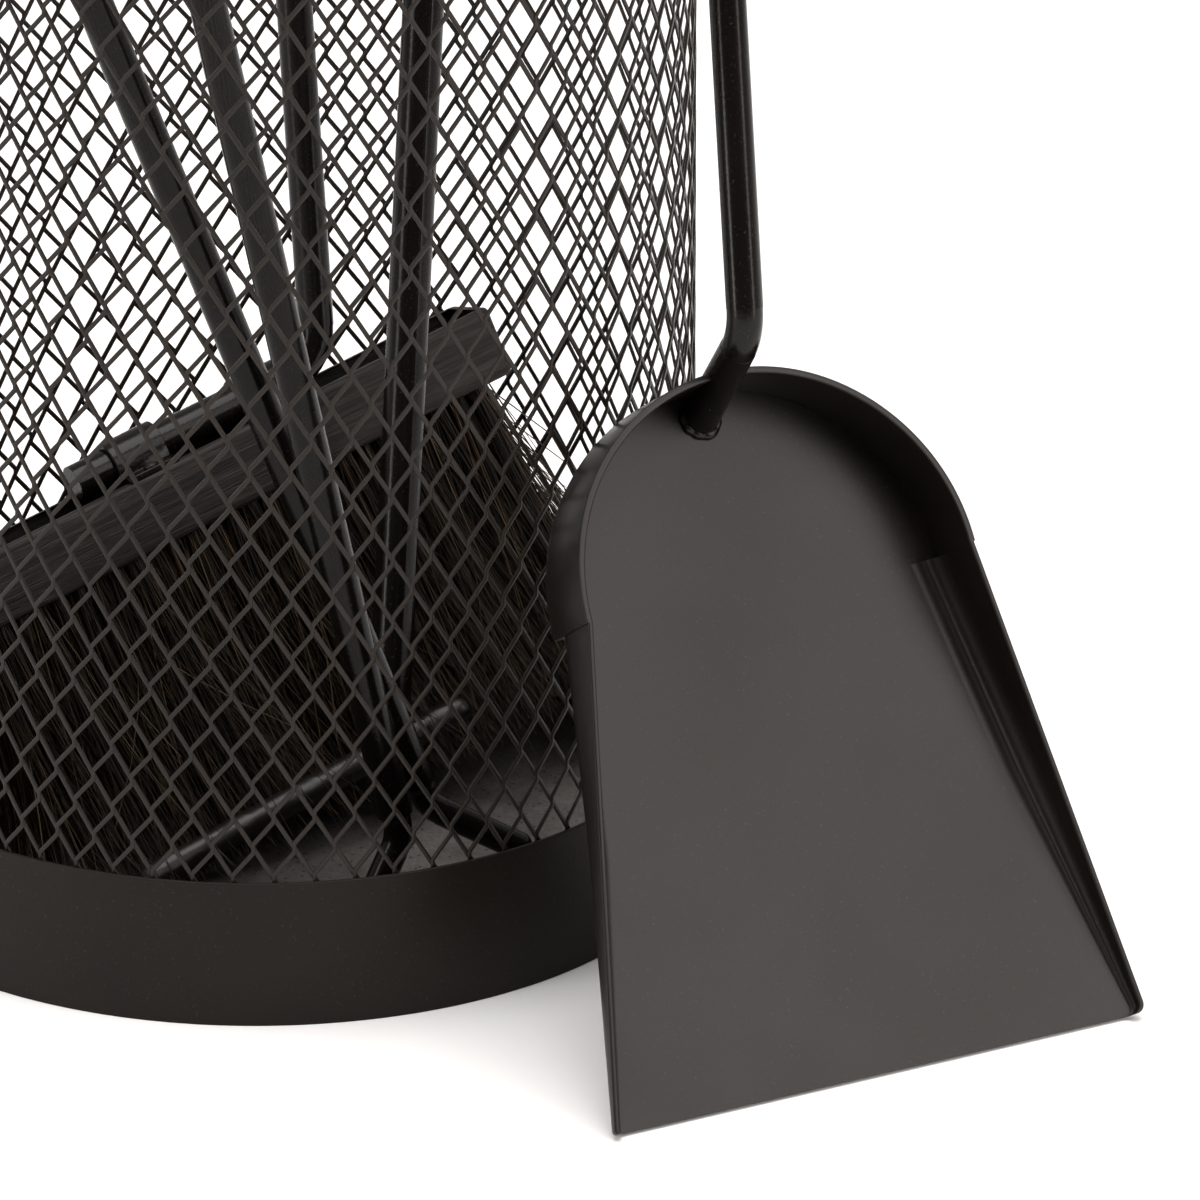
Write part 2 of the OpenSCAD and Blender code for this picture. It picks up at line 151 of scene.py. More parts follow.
def fromCad(name, part, material, body, bevel):
    # merged, smoothly shaded copy of a CAD node, with its sharp edges broken by a small bevel in mm
    work = bmesh.new()
    work.from_mesh(cad[part].data)
    bmesh.ops.remove_doubles(work, verts=work.verts, dist=copied["merge"])
    bmesh.ops.dissolve_limit(work, angle_limit=math.radians(copied["flat"]), verts=work.verts, edges=work.edges)
    mesh = bpy.data.meshes.new(name)
    work.to_mesh(mesh)
    work.free()
    piece = bpy.data.objects.new(name, mesh)
    bpy.context.scene.collection.objects.link(piece)
    finishMesh(piece, material, body, [part], copied["sharp"])
    if bevel:
        edges = piece.modifiers.new("brokenEdges", "BEVEL")
        edges.width = bevel * mm
        edges.segments = 2
        edges.limit_method = "ANGLE"
        edges.angle_limit = math.radians(copied["sharp"])
        edges.use_clamp_overlap = True


# Materials

def linear(code):
    # sRGB hex to linear colour
    c = arr([int(code[i:i + 2], 16) for i in (1, 3, 5)]) / 255
    c = np.where(c <= 0.04045, c / 12.92, ((c + 0.055) / 1.055) ** 2.4)
    return (*c.tolist(), 1.0)


def node(tree, kind, settings=None, links=None, result=0):
    # adds a node, sets its properties, input values or colour stops, links its inputs, and returns an output
    made = tree.nodes.new(kind)
    for key, value in (settings or {}).items():
        if key == "stops":
            band = made.color_ramp.elements
            for spot, (position, color) in enumerate(value):
                stop = band[spot] if spot < 2 else band.new(position)
                stop.position, stop.color = position, color
        elif isinstance(key, str) and hasattr(made, key):
            setattr(made, key, value)
        else:
            made.inputs[key].default_value = value
    for key, source in (links or {}).items():
        tree.links.new(source, made.inputs[key])
    return made.outputs[result] if made.outputs else None


def newMaterial(name):
    material = bpy.data.materials.new(name)
    material.use_nodes = True
    tree = material.node_tree
    tree.nodes.clear()
    return material, tree, node(tree, "ShaderNodeTexCoord", result="Object")


def grey(value):
    return (value, value, value, 1.0)


def powderCoat(name, dark, light, settings):
    # baked polyester powder on steel: a fine orange peel, a soft satin gloss, faint cloudiness and pale dust specks
    material, tree, place = newMaterial(name)
    peel = node(tree, "ShaderNodeTexNoise", {"Scale": 1 / (settings["peel"] * mm), "Detail": 3.0}, {"Vector": place})
    cloud = node(tree, "ShaderNodeTexNoise", {"Scale": 1 / (settings["cloud"] * mm), "Detail": 5.0}, {"Vector": place})
    speck = node(tree, "ShaderNodeTexNoise", {"Scale": 1 / (settings["speck"] * mm), "Detail": 1.0}, {"Vector": place})
    base = node(tree, "ShaderNodeValToRGB", {"stops": [(0.3, linear(dark)), (0.7, linear(light))]}, {"Fac": cloud})
    dust = node(tree, "ShaderNodeValToRGB", {"stops": [(0.66, grey(0)), (0.8, grey(settings["dust"]))]},
                {"Fac": speck})
    color = node(tree, "ShaderNodeMix", {"data_type": "RGBA", 7: linear("#6b6762")}, {0: dust, 6: base}, 2)
    rough = settings["roughness"]
    gloss = node(tree, "ShaderNodeValToRGB", {"stops": [(0.25, grey(rough - 0.06)), (0.75, grey(rough + 0.06))]},
                 {"Fac": cloud})
    bump = node(tree, "ShaderNodeBump", {"Strength": settings["bump"], "Distance": 0.1 * mm}, {"Height": peel})
    shader = node(tree, "ShaderNodeBsdfPrincipled", {"IOR": 1.5, "Specular IOR Level": settings["specular"]},
                  {"Base Color": color, "Roughness": gloss, "Normal": bump})
    node(tree, "ShaderNodeOutputMaterial", {}, {"Surface": shader})
    return material


coat = {"peel": 0.9, "cloud": 45, "speck": 0.8, "dust": 0.12, "roughness": 0.42, "bump": 0.35, "specular": 0.3}
meshCoat = powderCoat("powderCoatExpandedSteel", "#1a1612", "#241e19", {**coat, "roughness": 0.36, "specular": 0.24})
bandCoat = powderCoat("powderCoatBand", "#15110e", "#1c1713", {**coat, "roughness": 0.42, "specular": 0.15})
shaftCoat = powderCoat("powderCoatShaft", "#0a0807", "#0f0c0b", {**coat, "roughness": 0.2, "specular": 0.2})
forgedCoat = powderCoat("powderCoatForged", "#110e0c", "#181412", {**coat, "roughness": 0.34, "specular": 0.32})
panCoat = powderCoat("powderCoatPan", "#110e0c", "#161311",
                     {**coat, "roughness": 0.34, "cloud": 70, "bump": 0.25, "specular": 0.24})
gripCoat = powderCoat("powderCoatGrip", "#0f0e0d", "#141212", {**coat, "roughness": 0.34})
fixingCoat = powderCoat("blackenedFixings", "#121010", "#191716", {**coat, "roughness": 0.36, "peel": 0.6})


def floorMaterial():
    # powder-coated plate that ash has fallen on: matt black under a thin speckled film, thicker at the right
    material, tree, place = newMaterial("dustyHearthPlate")
    grain = node(tree, "ShaderNodeTexNoise", {"Scale": 1 / (1.1 * mm), "Detail": 4.0, "Roughness": 0.7},
                 {"Vector": place})
    drift = node(tree, "ShaderNodeTexNoise", {"Scale": 1 / (30 * mm), "Detail": 4.0}, {"Vector": place})
    fleck = node(tree, "ShaderNodeTexVoronoi", {"Scale": 1 / (3.0 * mm), "Randomness": 1.0}, {"Vector": place})
    side = node(tree, "ShaderNodeSeparateXYZ", {}, {"Vector": place})
    heap = node(tree, "ShaderNodeMath", {"operation": "MULTIPLY_ADD", 1: 1 / (110 * mm), 2: 0.25}, {0: side})
    speckle = node(tree, "ShaderNodeValToRGB", {"stops": [(0.05, grey(0.5)), (0.2, grey(0))]}, {"Fac": fleck})
    patch = node(tree, "ShaderNodeValToRGB", {"stops": [(0.38, grey(0.45)), (0.62, grey(1.0))]}, {"Fac": drift})
    amount = node(tree, "ShaderNodeMath", {"operation": "MULTIPLY"}, {0: heap, 1: patch})
    dust = node(tree, "ShaderNodeMath", {"operation": "MULTIPLY", "use_clamp": True}, {0: grain, 1: amount})
    flecked = node(tree, "ShaderNodeMath", {"operation": "SUBTRACT", "use_clamp": True}, {0: dust, 1: speckle})
    color = node(tree, "ShaderNodeMix", {"data_type": "RGBA", 6: linear("#171413"), 7: linear("#85807d")},
                 {0: flecked}, 2)
    bump = node(tree, "ShaderNodeBump", {"Strength": 0.3, "Distance": 0.15 * mm}, {"Height": grain})
    shader = node(tree, "ShaderNodeBsdfPrincipled", {"Roughness": 0.6, "Specular IOR Level": 0.3},
                  {"Base Color": color, "Normal": bump})
    node(tree, "ShaderNodeOutputMaterial", {}, {"Surface": shader})
    return material


def woodMaterial(turn):
    # black-stained open-pored beech: long dark pores and paler worn streaks along the block
    material, tree, place = newMaterial("blackStainedWood")
    along = node(tree, "ShaderNodeMapping",
                 {"vector_type": "TEXTURE", "Rotation": [math.radians(a) for a in turn]}, {"Vector": place})
    stretch = node(tree, "ShaderNodeMapping", {"Scale": (1 / (38 * mm), 1 / (1.7 * mm), 1 / (1.7 * mm))},
                   {"Vector": along})
    grain = node(tree, "ShaderNodeTexNoise", {"Scale": 1.0, "Detail": 6.0, "Roughness": 0.65}, {"Vector": stretch})
    poreSpace = node(tree, "ShaderNodeMapping", {"Scale": (1 / (9 * mm), 1 / (0.55 * mm), 1 / (0.55 * mm))},
                     {"Vector": along})
    pores = node(tree, "ShaderNodeTexNoise", {"Scale": 1.0, "Detail": 2.0}, {"Vector": poreSpace})
    cloud = node(tree, "ShaderNodeTexNoise", {"Scale": 1 / (35 * mm), "Detail": 3.0}, {"Vector": place})
    stain = node(tree, "ShaderNodeValToRGB", {"stops": [(0.32, linear("#0f0c0b")), (0.68, linear("#352e2a")),
                                                        (0.5, linear("#1d1816"))]}, {"Fac": grain})
    tint = node(tree, "ShaderNodeValToRGB", {"stops": [(0.3, grey(0.7)), (0.7, grey(1.1))]}, {"Fac": cloud})
    color = node(tree, "ShaderNodeMix", {"data_type": "RGBA", "blend_type": "MULTIPLY", 0: 1.0},
                 {6: stain, 7: tint}, 2)
    cut = node(tree, "ShaderNodeValToRGB", {"stops": [(0.36, grey(0)), (0.46, grey(1))]}, {"Fac": pores})
    height = node(tree, "ShaderNodeMath", {"operation": "MULTIPLY"}, {0: cut, 1: grain})
    gloss = node(tree, "ShaderNodeValToRGB", {"stops": [(0.3, grey(0.62)), (0.7, grey(0.42))]}, {"Fac": grain})
    bump = node(tree, "ShaderNodeBump", {"Strength": 0.6, "Distance": 0.25 * mm}, {"Height": height})
    shader = node(tree, "ShaderNodeBsdfPrincipled", {"IOR": 1.5, "Specular IOR Level": 0.22},
                  {"Base Color": color, "Roughness": gloss, "Normal": bump})
    node(tree, "ShaderNodeOutputMaterial", {}, {"Surface": shader})
    return material


def bristleMaterial():
    # dyed bassine fibre: each fibre a little lighter or browner than the next, with a dull sheen
    material, tree, place = newMaterial("dyedPlantFibre")
    shade = node(tree, "ShaderNodeAttribute", {"attribute_name": "fibreShade"}, {}, "Fac")
    along = node(tree, "ShaderNodeTexNoise", {"Scale": 1 / (6 * mm), "Detail": 2.0}, {"Vector": place})
    mixed = node(tree, "ShaderNodeMath", {"operation": "MULTIPLY_ADD", 1: 0.35, 2: -0.17}, {0: along})
    total = node(tree, "ShaderNodeMath", {"operation": "ADD"}, {0: mixed, 1: shade})
    color = node(tree, "ShaderNodeValToRGB", {"stops": [(0.0, linear("#080504")), (1.0, linear("#50402f")),
                                                        (0.6, linear("#1a130d"))]}, {"Fac": total})
    shader = node(tree, "ShaderNodeBsdfPrincipled", {"Roughness": 0.5, "IOR": 1.5, "Specular IOR Level": 0.25},
                  {"Base Color": color})
    node(tree, "ShaderNodeOutputMaterial", {}, {"Surface": shader})
    return material


def feltMaterial():
    # pressed wool felt: matt grey with short matted fibres
    material, tree, place = newMaterial("pressedFelt")
    matted = node(tree, "ShaderNodeTexNoise", {"Scale": 1 / (0.8 * mm), "Detail": 5.0}, {"Vector": place})
    color = node(tree, "ShaderNodeValToRGB", {"stops": [(0.3, linear("#2c2c2c")), (0.7, linear("#484644"))]},
                 {"Fac": matted})
    bump = node(tree, "ShaderNodeBump", {"Strength": 0.8, "Distance": 0.3 * mm}, {"Height": matted})
    shader = node(tree, "ShaderNodeBsdfPrincipled", {"Roughness": 0.95}, {"Base Color": color, "Normal": bump})
    node(tree, "ShaderNodeOutputMaterial", {}, {"Surface": shader})
    return material


dustyPlate = floorMaterial()
felt = feltMaterial()
fibre = bristleMaterial()
print("materials made")


# Basket

basket = {
    "columns": 68,       # diamonds round the wall
    "rise": 18.1 * mm,   # height of a diamond
    "strand": 1.28 * mm,  # width of a strand
    "knuckle": 2.6 * mm,  # height of a joint between strands
    "nodeHeight": 51.7 * mm,  # height of one joint of the front column
    "edge": 0.35 * mm,   # rounding of the band's edges
    "plateEdge": 0.3 * mm,
    "padEdge": 0.5 * mm,
    "bandSteps": 256,    # points round each turned piece
    "rimSteps": 224,
    "rimSides": 28,      # points round the rim's bar
    "plateSteps": 192,
    "padSteps": 160,
}
wallLow, wallHigh = map(arr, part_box("mesh_wall"))
bandLow, bandHigh = map(arr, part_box("base_band"))
floorLow, floorHigh = map(arr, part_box("floor_plate"))
rimLow, rimHigh = map(arr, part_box("top_rim"))
padLow, padHigh = map(arr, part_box("foot_pad"))
wallOuter = wallHigh[0]
wallInner = floorHigh[0]
wallMiddle = (wallOuter + wallInner) / 2


def strandSection(width, depth):
    # flat bar with chamfered corners, as points across the strand and through the wall
    a, b, c = width / 2, depth / 2, depth * 0.22
    return arr([(a, -b + c), (a, b - c), (a - c, b), (-a + c, b), (-a, b - c), (-a, -b + c), (-a + c, -b), (a - c, -b)])


def latticeStrands(lean):
    # strands climb half a diamond round for half a diamond up. lean is -1 for those that run on straight
    # and 1 for those that stand upright for a knuckle at each joint. Columns start at joints of the wall.
    n = basket["columns"]
    half = basket["rise"] / 2
    first = math.floor((wallLow[2] - basket["nodeHeight"]) / half)
    steps = math.ceil((wallHigh[2] - wallLow[2]) / half) + 1
    k = np.arange(first, first + steps + 1)
    z = basket["nodeHeight"] + k * half
    angle = -np.pi / 2 + lean * k * np.pi / n
    if lean > 0:
        lift = basket["knuckle"] / 2
        z = np.stack([z - lift, z + lift], -1).reshape(-1)
        angle = np.repeat(angle, 2)
    z = np.clip(z, wallLow[2], wallHigh[2])
    keep = np.concatenate([[True], np.abs(np.diff(z)) > 1e-6])
    z, angle = z[keep], angle[keep]
    start = np.arange(n)[:, None] * 2 * np.pi / n
    angle = angle[None] + start
    z = np.broadcast_to(z[None], angle.shape)
    around = wallMiddle * np.gradient(angle, axis=1)
    up = np.gradient(z, axis=1)
    length = np.hypot(around, up)
    depth = (wallOuter - wallInner) * 0.52
    section = strandSection(basket["strand"], depth)
    # the section lies square to the strand, in the wall's own surface
    side = section[:, 0]
    dAngle = side * (up / length)[..., None] / wallMiddle
    dUp = -side * (around / length)[..., None]
    r = wallMiddle + lean * depth * 0.15 + section[:, 1]
    a = angle[..., None] + dAngle
    return np.stack([r * np.cos(a), r * np.sin(a), z[..., None] + dUp], -1)


def discOutline(radius, low, high, edge):
    # half-section of a flat disc with a rounded edge, from just off the middle of its top to its underside
    half = roundedBox(-radius, low, radius, high, edge)
    half = half[half[:, 0] > 0]
    middle = 1e-5
    return np.concatenate([[[middle, high]], half[np.argsort(-half[:, 1], kind="stable")], [[middle, low]]])


def makeBasket():
    parts, faces, start = [], [], 0
    for lean in (1, -1):
        strands = latticeStrands(lean)
        count, rings, sides, _ = strands.shape
        parts.append(strands.reshape(-1, 3))
        faces += [[i + start for i in face] for face in sweepFaces(count, rings, sides)]
        start += count * rings * sides
    verts = np.concatenate(parts)
    verts[:, 2] = np.clip(verts[:, 2], wallLow[2], wallHigh[2])
    addMesh("meshWall", verts, faces, meshCoat, "stand", "mesh_steel", ["mesh_wall"], 55)

    outline = roundedBox(wallOuter, bandLow[2], bandHigh[0], bandHigh[2], basket["edge"])
    addMesh("baseBand", *lathe(outline, basket["bandSteps"]), bandCoat, "stand", "band_steel", ["base_band"], 35)

    bar = (rimHigh[2] - rimLow[2]) / 2
    turn = np.linspace(0, 2 * np.pi, basket["rimSides"], endpoint=False)
    centre = rimHigh[0] - bar
    ring = np.stack([centre + bar * np.cos(turn), rimLow[2] + bar + bar * np.sin(turn)], -1)
    addMesh("topRim", *lathe(ring, basket["rimSteps"]), bandCoat, "stand", "band_steel", ["top_rim"], 60)

    plate = discOutline(wallInner, floorLow[2], floorHigh[2], basket["plateEdge"])
    addMesh("floorPlate", *lathe(plate, basket["plateSteps"]), dustyPlate, "stand", "floor_steel", ["floor_plate"], 35)
    pad = discOutline(padHigh[0], padLow[2], padHigh[2], basket["padEdge"])
    addMesh("feltPad", *lathe(pad, basket["padSteps"]), felt, "stand", "felt", ["foot_pad"], 35)


makeBasket()
print("basket made")


# Brush

brush = {
    "turn": (-20, -13.5, 32),  # how the block lies, about X, Y and Z
    "edge": 1.6 * mm,    # rounding of the block's edges
    "corner": 3 * mm,    # rounding of its upright edges
    "wave": 0.12 * mm,   # unevenness of its long sides
    "trim": 0.012,       # share by which it is narrower, so that the unevenness stays inside
    "tufts": (27, 5),    # tufts along and across the block
    "fibres": 128,       # fibres in a tuft
    "tuftWidth": 5.2 * mm,
    "thickness": 0.52 * mm,
    "spread": 0.03,      # lean of the outer fibres, as a slope
    "unruly": 0.075,     # random lean of every fibre
    "curl": 0.085,       # random bend of every fibre
    "strays": 420,
    "wallGap": 1.0 * mm,
    "seed": 7,
}
brushTurn = turnMatrix(brush["turn"])
blockLow, blockHigh = turnedBox("brush_block", brushTurn)
bristleLow, bristleHigh = turnedBox("brush_bristles", brushTurn)
stainedWood = woodMaterial(brush["turn"])


def makeBlock():
    # rounded outline swept over a rounded height, with a slight hand-planed unevenness
    size = blockHigh - blockLow
    mid = (blockHigh + blockLow) / 2
    r = brush["corner"]
    arc = np.linspace(0, np.pi / 2, 10)
    parts = []
    for quarter, (sx, sy) in enumerate([(1, 1), (-1, 1), (-1, -1), (1, -1)]):
        a = arc + quarter * np.pi / 2
        corner = np.stack([sx * (size[0] / 2 - r) + 0 * a, sy * (size[1] / 2 - r) + 0 * a, np.cos(a), np.sin(a)], -1)
        run = np.linspace(0, 1, 60 if quarter % 2 == 0 else 8)[1:-1, None]
        parts += [corner, corner[-1] + run * [-2 * sx * (size[0] / 2 - r) * (quarter % 2 == 0),
                                              -2 * sy * (size[1] / 2 - r) * (quarter % 2 == 1), 0, 0]]
    loop = np.concatenate(parts)
    e = brush["edge"]
    t = np.linspace(0, np.pi / 2, 6)
    inset = np.concatenate([[r * 0.999], e * (1 - np.sin(t)), [0, 0], e * (1 - np.cos(t)), [r * 0.999]])
    level = np.concatenate([[size[2] / 2], size[2] / 2 - e * (1 - np.cos(t)), [size[2] / 6, -size[2] / 6],
                            -size[2] / 2 + e * (1 - np.sin(t)), [-size[2] / 2]])
    radius = (r - inset)[:, None]
    x = loop[None, :, 0] + radius * loop[None, :, 2]
    y = loop[None, :, 1] + radius * loop[None, :, 3]
    wave = brush["wave"] * np.sin(x / (11 * mm)) * np.cos(x / (27 * mm))
    y = y * (1 - brush["trim"]) + wave * (np.abs(y) > size[1] / 3)
    z = np.broadcast_to(level[:, None], x.shape)
    verts = (np.stack([x, y, z], -1) + mid) @ brushTurn.T
    addMesh("brushBlock", verts, gridFaces(len(level), len(loop)).tolist(), stainedWood, "brush", "stained_wood",
            ["brush_block"], 50)


def fibreGroup(name, rootsLocal, lean, length, rng, bend, shadeRange):
    # a fibre is a thin three-sided taper. It leaves its root along lean, droops with its own bend, and is
    # kept inside the wall and above the floor plate, where the rest of it lies outwards along the plate.
    count, rings = len(rootsLocal), 6
    t = np.linspace(0, 1, rings)[None, :, None]
    direction = lean / np.linalg.norm(lean, axis=1, keepdims=True)
    path = rootsLocal[:, None] + direction[:, None] * length[:, None, None] * t
    path = path + bend[:, None] * length[:, None, None] * t ** 2
    world = path @ brushTurn.T
    floorTop = floorHigh[2] + 0.5 * mm + 2.5 * mm * rng.random((count, 1)) * np.linspace(0.2, 1, rings)[None]
    short = np.maximum(floorTop - world[..., 2], 0)
    world[..., 2] = np.maximum(world[..., 2], floorTop)
    out = bend @ brushTurn.T
    heading = np.arctan2(out[:, 1], out[:, 0])[:, None]
    world[..., 0] += 0.55 * short * np.cos(heading)
    world[..., 1] += 0.55 * short * np.sin(heading)
    radius = np.hypot(world[..., 0], world[..., 1])
    limit = wallInner - brush["wallGap"] - 1.5 * mm * rng.random((count, 1))
    pull = np.minimum(1, limit / np.maximum(radius, 1e-6))
    world[..., :2] *= pull[..., None]
    thick = brush["thickness"] / 2 * (0.7 + 0.5 * rng.random((count, 1, 1, 1)))
    thick = thick * np.linspace(1.0, 0.45, rings)[None, :, None, None]
    corner = np.arange(3) * 2 * np.pi / 3
    u, v = brushTurn[:, 0], brushTurn[:, 1]
    ring = np.cos(corner)[:, None] * u + np.sin(corner)[:, None] * v
    verts = world[:, :, None] + thick * ring[None, None]
    faces = sweepFaces(count, rings, 3, capStart=False)
    piece = addMesh(name, verts, faces, fibre, "brush", "bristle", (), 75)
    shade = np.repeat(shadeRange[0] + (shadeRange[1] - shadeRange[0]) * rng.random(count), rings * 3)
    attribute = piece.data.attributes.new("fibreShade", "FLOAT", "POINT")
    attribute.data.foreach_set("value", shade.astype(np.float32))
    return piece


def makeBristles():
    rng = np.random.default_rng(brush["seed"])
    nx, ny = brush["tufts"]
    low, high = bristleLow, bristleHigh
    top = blockLow[2]
    full = bristleHigh[2] - bristleLow[2]
    length = full * 0.985
    across = np.linspace(low[1] + 2 * mm, high[1] - 2 * mm, ny)
    for row, y in enumerate(across):
        offset = 0.5 * (row % 2)
        x = low[0] + 3.5 * mm + (np.arange(nx) + offset) * (high[0] - low[0] - 7 * mm) / (nx - 0.5)
        centres = np.stack([x, np.full(nx, y)], -1)
        roots = np.repeat(centres, brush["fibres"], 0)
        count = len(roots)
        spin, away = rng.random(count) * 2 * np.pi, np.sqrt(rng.random(count)) * brush["tuftWidth"] / 2
        roots = roots + np.stack([away * np.cos(spin), away * np.sin(spin)], -1)
        root3 = np.column_stack([roots, np.full(count, top + 0.5 * mm)])
        midX, midY = (low[0] + high[0]) / 2, (low[1] + high[1]) / 2
        endwise = ((root3[:, 0] - midX) / (high[0] - low[0]) * 2) ** 3
        sidewise = (root3[:, 1] - midY) / (high[1] - low[1]) * 2
        clump = np.repeat(rng.normal(0, brush["unruly"] * 0.45, (nx, 2)), brush["fibres"], 0)
        lean = np.column_stack([
            brush["spread"] * endwise + clump[:, 0] + rng.normal(0, brush["unruly"], count),
            brush["spread"] * 1.5 * sidewise + clump[:, 1] + rng.normal(0, brush["unruly"], count),
            -np.ones(count)])
        bend = np.column_stack([rng.normal(0, brush["curl"], count) + 0.03 * endwise,
                                rng.normal(0, brush["curl"], count) + 0.05 * sidewise, np.zeros(count)])
        size = length * (1 + rng.normal(0, 0.035, count) - 0.05 * rng.random(count))
        fibreGroup(f"bristleRow{row + 1}", root3, lean, size, rng, bend, (0.1, 0.85))
    count = brush["strays"]
    root3 = np.column_stack([rng.uniform(low[0], high[0], count), rng.uniform(low[1], high[1], count),
                             np.full(count, top + 0.5 * mm)])
    atEnd = rng.random(count) < 0.05
    root3[atEnd, 0] = high[0] - rng.random(atEnd.sum()) * 6 * mm
    lean = np.column_stack([rng.normal(0, 0.16, count) + 0.22 * atEnd, rng.normal(0, 0.16, count), -np.ones(count)])
    bend = np.column_stack([rng.normal(0, 0.2, count) + 0.1 * atEnd, rng.normal(0, 0.2, count), np.zeros(count)])
    fibreGroup("bristleStrays", root3, lean, full * rng.uniform(0.55, 0.95, count), rng, bend,
                             (0.3, 1.0))
    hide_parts("brush_bristles")


makeBlock()
makeBristles()
fromCad("brushShaft", "brush_shaft", shaftCoat, "brush", 0.4)
fromCad("brushClips", "brush_clips", shaftCoat, "brush", 0.25)
fromCad("brushScrews", "brush_screws", fixingCoat, "brush", 0.15)
print("brush made")


# Poker

poker = {
    "barTurn": (0, -14, 34),  # how the crossbar lies
    "dents": 0.16 * mm,  # depth of the hammer marks
    "dentPitch": 6.5 * mm,
    "seed": 11,
}


def makeCrossbar():
    # round bar with domed ends, whose radius dips by shallow hammer marks along and round it
    turn = turnMatrix(poker["barTurn"])
    low, high = turnedBox("poker_crossbar", turn)
    r = (high[2] - low[2]) / 2
    mid = (low + high) / 2
    half = (high[0] - low[0]) / 2
    t = np.linspace(-np.pi / 2, 0, 9)
    x = np.concatenate([-half + r + r * np.sin(t), np.linspace(-half + r, half - r, 150)[1:-1],
                        half - r - r * np.sin(t[::-1])])
    size = np.concatenate([r * np.cos(t), np.full(148, r), r * np.cos(t[::-1])])
    size = np.maximum(size, 1e-5)
    a = np.linspace(0, 2 * np.pi, 40, endpoint=False)
    rng = np.random.default_rng(poker["seed"])
    marks = int(2 * half / poker["dentPitch"]) * 4
    dent = np.zeros((len(x), len(a)))
    for markX, markA in zip(rng.uniform(-half, half, marks), rng.uniform(0, 2 * np.pi, marks)):
        gapA = np.angle(np.exp(1j * (a - markA))) * r
        away = ((x - markX)[:, None] / (3.4 * mm)) ** 2 + (gapA[None] / (2.6 * mm)) ** 2
        dent = np.maximum(dent, smooth(1 - away))
    radius = size[:, None] - poker["dents"] * dent * (size[:, None] > r * 0.6)
    verts = np.stack([np.broadcast_to(x[:, None], radius.shape), radius * np.cos(a), radius * np.sin(a)], -1)
    faces = sweepFaces(1, len(x), len(a))
    addMesh("pokerCrossbar", (verts + mid) @ turn.T, faces, forgedCoat, "poker", "shaft_steel", ["poker_crossbar"], 60)


makeCrossbar()
fromCad("pokerShaft", "poker_shaft", shaftCoat, "poker", 0.4)
print("poker made")


# Tongs

fromCad("tongsBackLeg", "tongs_back_leg", shaftCoat, "tongs", 0.3)
fromCad("tongsFrontLeg", "tongs_front_leg", shaftCoat, "tongs_front", 0.3)
fromCad("tongsPin", "tongs_pin", fixingCoat, "tongs", 0.15)
fromCad("tongsWasher", "tongs_washer", fixingCoat, "tongs", 0.15)
print("tongs made")


# Shovel

shovel = {
    "turn": (56.3, 0, 28),  # slope of the pan and turn of its mouth
    "sheet": 1.5 * mm,
    "mouthWall": 3 * mm,    # height of the side walls at the mouth
    "fold": 8.0 * mm,       # inner radius of the fold between floor and side wall
    "ridge": 0.7 * mm,      # height of the press mark that runs along the fold
    "ridgeTurn": 0.55,      # its place round the fold, and its width, in radians
    "ridgeWidth": 0.13,
    "corner": (1.0 * mm, 3.0 * mm),  # rounding of the mouth's left and right corners
    "proud": 0.45 * mm,     # how far the strip stands out over the side walls
    "lip": 0.4 * mm,        # rounding of the sheet's edges
    "bead": 1.5 * mm,       # radius of the weld bead
    "rimSteps": 97,         # points round the closed end of the floor
    "stripSteps": 121,      # sections along the strip
    "beadSteps": (120, 14),  # sections round the weld and points round its tube
    "seed": 5,
}
panTurn = turnMatrix(shovel["turn"])
panLow, panHigh = turnedBox("shovel_pan", panTurn)
archLow, archHigh = turnedBox("shovel_arch_wall", panTurn)
panMid = arr([(panLow[0] + panHigh[0]) / 2, panLow[1], panLow[2] + shovel["sheet"]])
mouthHalf = (panHigh[0] - panLow[0]) / 2
archRadius = (archHigh[0] - archLow[0]) / 2
throat = panHigh[1] - panLow[1] - archRadius
wallTop = archHigh[2] - panMid[2]


def onPan(points):
    return (np.asarray(points) + panMid) @ panTurn.T


def sheetSide(v, side):
    # half a cross-section at v from the mouth: along the floor's top, up the fold and the wall's inner face,
    # over the lip, and back down the outer face and round the fold's outside to the underside
    t, lip = shovel["sheet"], shovel["lip"]
    round0 = shovel["corner"][0 if side < 0 else 1]
    half = mouthHalf + (archRadius - mouthHalf) * v / throat
    near = max(round0 - v, 0)
    half = half - round0 + math.sqrt(round0 ** 2 - near ** 2)
    top = shovel["mouthWall"] + (wallTop - shovel["mouthWall"]) * v / throat
    fold = min(shovel["fold"], top * 0.6)
    a = np.linspace(0, np.pi / 2, 33)
    q = np.linspace(0, np.pi / 2, 4)
    inner = half - t
    # the press mark is a bell-shaped rise of the fold's inner face
    rise = shovel["ridge"] * fold / shovel["fold"]
    curve = fold - rise * np.exp(-((a - shovel["ridgeTurn"]) / shovel["ridgeWidth"]) ** 2)
    x = np.concatenate([[0], inner - fold + curve * np.sin(a), inner + lip - lip * np.cos(q),
                        half - lip + lip * np.sin(q), (half - fold - t) + (fold + t) * np.cos(a), [0]])
    z = np.concatenate([[0], fold - curve * np.cos(a), top - lip + lip * np.sin(q), top - lip + lip * np.cos(q),
                        fold - (fold + t) * np.sin(a), [-t]])
    return side * x, z


